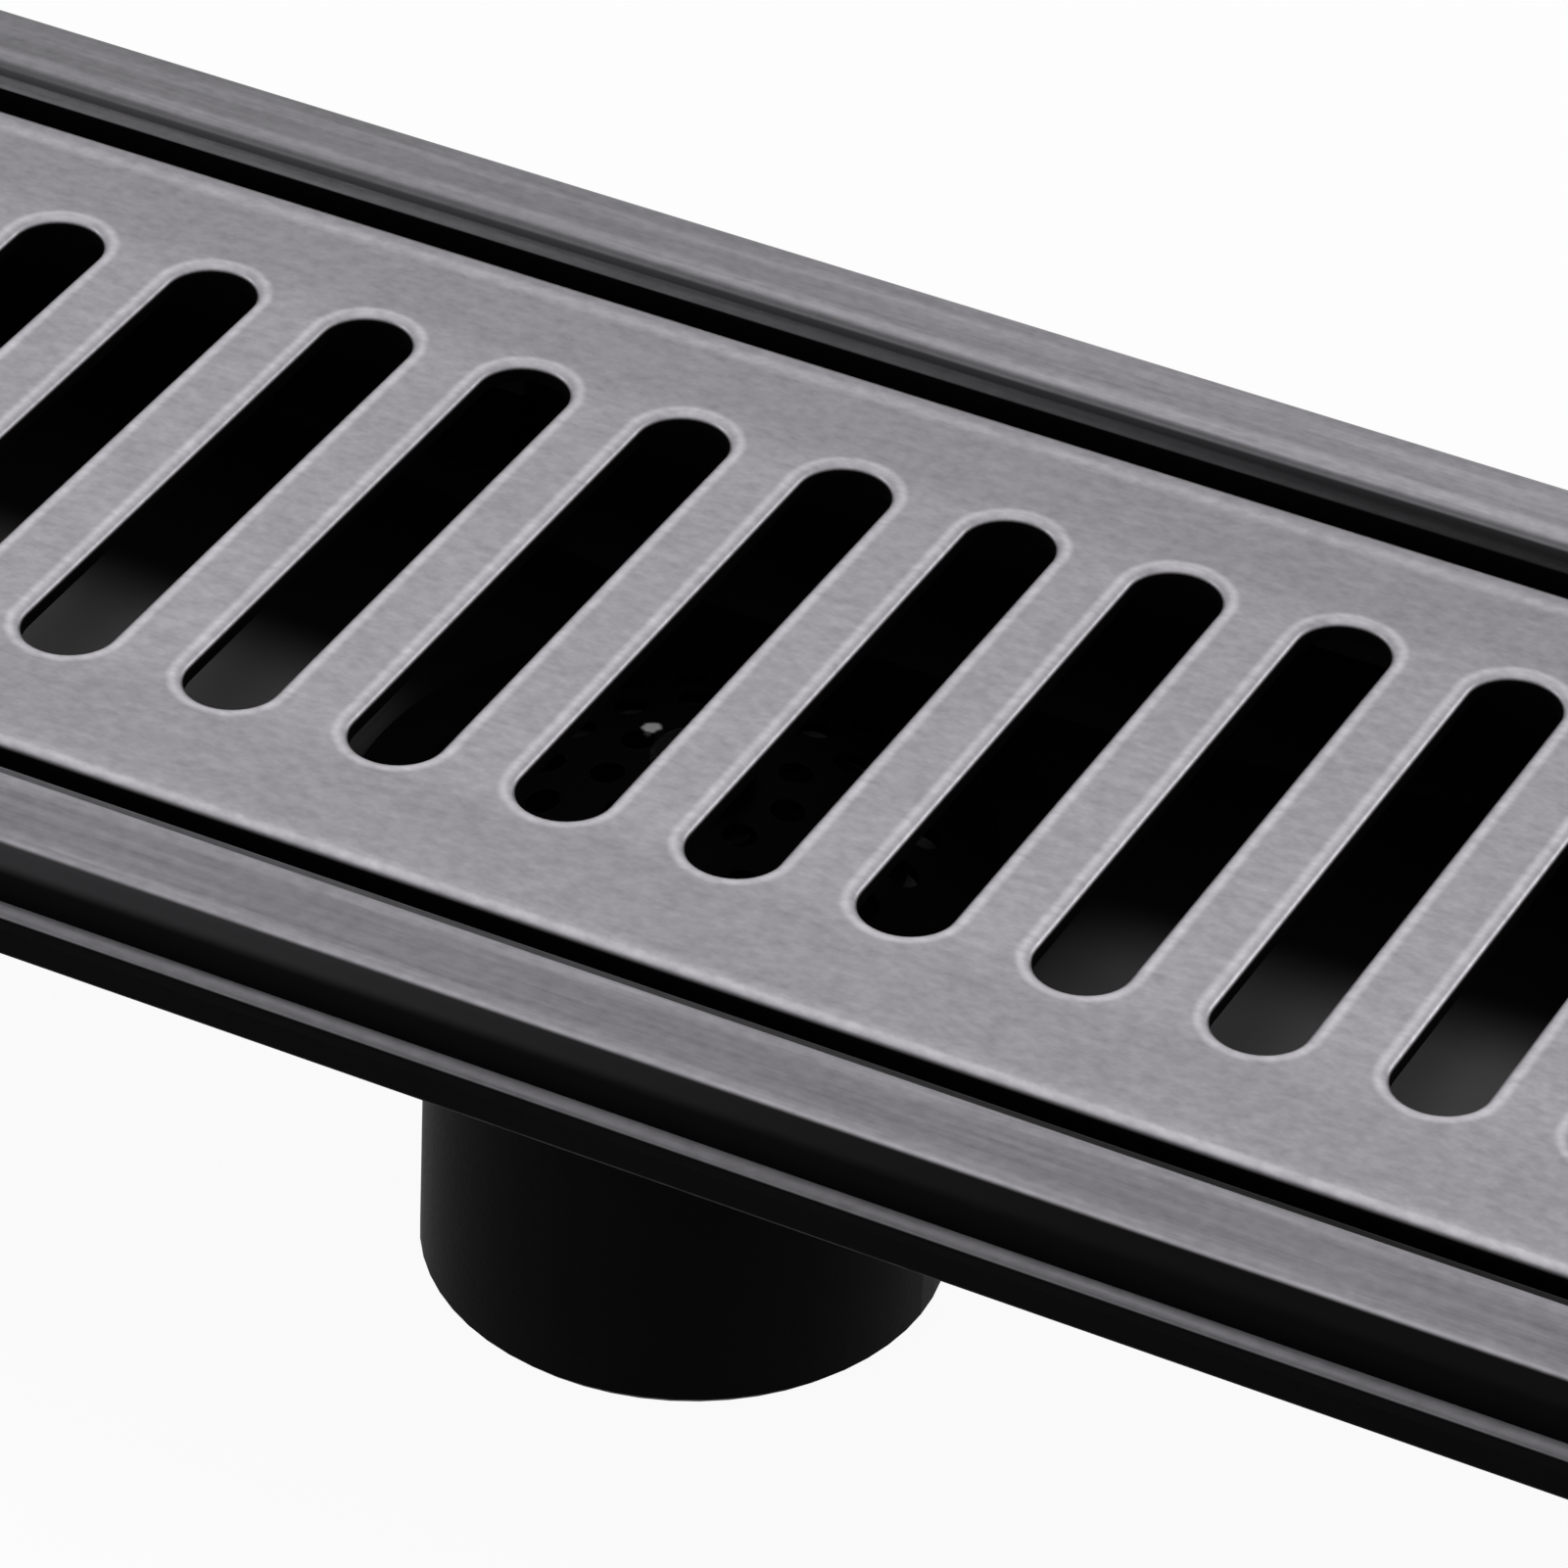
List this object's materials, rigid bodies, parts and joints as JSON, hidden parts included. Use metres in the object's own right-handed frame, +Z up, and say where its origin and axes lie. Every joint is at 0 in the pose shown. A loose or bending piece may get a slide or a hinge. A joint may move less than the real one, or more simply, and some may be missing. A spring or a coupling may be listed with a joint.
{
  "type": "rectangular floor drain",
  "caption": "Rectangular floor drain with a slotted metal grate in a stepped surround frame, over a black tray with a round bottom outlet, a hair strainer and a sprung odour trap.",
  "frame": {"origin": "centre of the outlet spigot's lower end", "axes": "+X along the drain, +Y across it, +Z up out of the floor"},
  "size_m": [0.3, 0.1, 0.0565],
  "materials": {
    "tray_black": "moulded, fine matt grain",
    "frame_metal": "brushed along its length, black sides",
    "grate_metal": "brushed, black sides",
    "strainer_black": "matt black coat",
    "stainless": "satin stainless",
    "polished_steel": "turned and polished",
    "trap_plastic": "moulded, satin",
    "rubber": "matt rubber",
    "silicone": "translucent grey silicone"
  },
  "bodies": {
    "drain": {"drain_tray": "tray_black", "surround_frame": "frame_metal", "slotted_grate": "grate_metal", "hair_strainer": "strainer_black", "strainer_knob": "polished_steel", "trap_sleeve": "trap_plastic", "sleeve_seal": "rubber", "valve_spring": "stainless", "grate_pad_front_1": "rubber", "grate_pad_front_2": "rubber", "grate_pad_front_3": "rubber", "grate_pad_front_4": "rubber", "grate_pad_rear_1": "rubber", "grate_pad_rear_2": "rubber", "grate_pad_rear_3": "rubber", "grate_pad_rear_4": "rubber"},
    "valve": {"valve_stem": "polished_steel", "valve_disc": "trap_plastic", "disc_gasket": "silicone", "stem_nut": "stainless", "spring_cap": "trap_plastic"}
  },
  "joints": [
    {"name": "valve_slide", "type": "slide", "parent": "drain", "child": "valve", "axis": [0, 0, -1], "range_m": [0, 0.007], "stiffness_N_per_m": 40, "springref_m": -0.008, "deforming": ["valve_spring"]}
  ]
}
